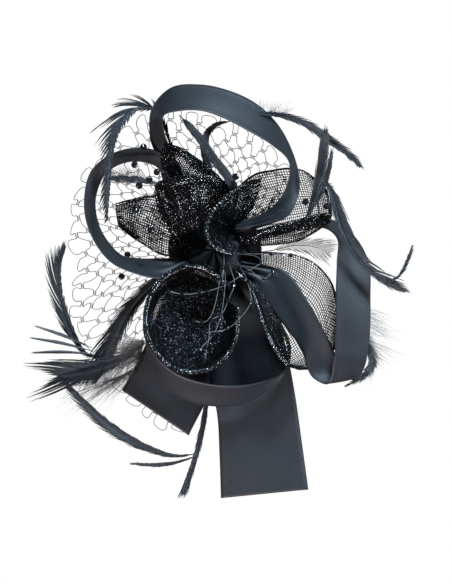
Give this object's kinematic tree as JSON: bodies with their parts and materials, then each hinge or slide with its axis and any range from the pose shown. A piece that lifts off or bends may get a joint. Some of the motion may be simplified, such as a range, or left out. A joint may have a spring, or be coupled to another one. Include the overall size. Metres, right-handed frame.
{
  "type": "fascinator headpiece",
  "caption": "Dressy hair ornament: satin ribbon loops and tails, open-weave petals, feathers, net and beads gathered on a felt disc with a sprung hair clip.",
  "frame": {"origin": "on the plane where the clip's two jaws meet, under the centre of the felt base", "axes": "+Z out of the wearer's head, +Y towards the top ribbon loop, +X towards the broad right ribbon loop"},
  "size_m": [0.2584, 0.2828, 0.0654],
  "materials": {
    "satin_ribbon": "satin",
    "straw_petal": "satin",
    "feather": "satin",
    "down": "matte",
    "net": "matte",
    "felt": "matte",
    "lining": "satin",
    "thread": "satin",
    "clip_steel": "satin",
    "spring_steel": "gloss",
    "stem": "gloss",
    "bead": "gloss"
  },
  "bodies": {
    "headpiece": {"base_lining": "lining", "bead_stems_centre": "stem", "bead_stems_left": "stem", "bead_stems_right": "stem", "beads_centre": "bead", "beads_left": "bead", "beads_net": "bead", "beads_right": "bead", "binding_thread": "thread", "clip_fixed_jaw": "clip_steel", "clip_hinge_pin": "clip_steel", "clip_spring": "spring_steel", "clip_stitches": "thread", "down_tuft_left": "down", "feather_arch": "feather", "feather_curl_inner": "feather", "feather_curled_tip": "feather", "feather_dark_left": "feather", "feather_fan_left": "feather", "feather_hook_inner": "feather", "feather_hook_right": "feather", "feather_long_bottom": "feather", "feather_quill_bottom": "feather", "feather_right_inner": "feather", "feather_rising_left": "feather", "feather_small_left": "feather", "feather_spike": "feather", "feather_spike_short": "feather", "feather_spikes_left": "feather", "feather_split_bottom": "feather", "feather_sweep_right": "feather", "feather_top_right": "feather", "felt_base": "felt", "petal_centre_curl": "straw_petal", "petal_cup": "straw_petal", "petal_left": "straw_petal", "petal_lower_right": "straw_petal", "petal_top": "straw_petal", "petal_upper_left": "straw_petal", "petal_upper_right": "straw_petal", "ribbon_loop_bottom": "satin_ribbon", "ribbon_loop_left": "satin_ribbon", "ribbon_loop_right": "satin_ribbon", "ribbon_loop_top": "satin_ribbon", "ribbon_tail_long": "satin_ribbon", "ribbon_tail_short": "satin_ribbon", "root_block": "felt", "veil_net": "net"},
    "clip_lever": {"clip_lever_jaw": "clip_steel"}
  },
  "joints": [
    {"name": "clip_hinge", "type": "hinge", "parent": "headpiece", "child": "clip_lever", "pos_m": [0.008, 0, -0.0032], "axis": [0, -1, 0], "range_deg": [0, 24], "stiffness_Nm_per_rad": 0.03, "springref_deg": -68.75, "deforming": ["clip_spring"]}
  ]
}
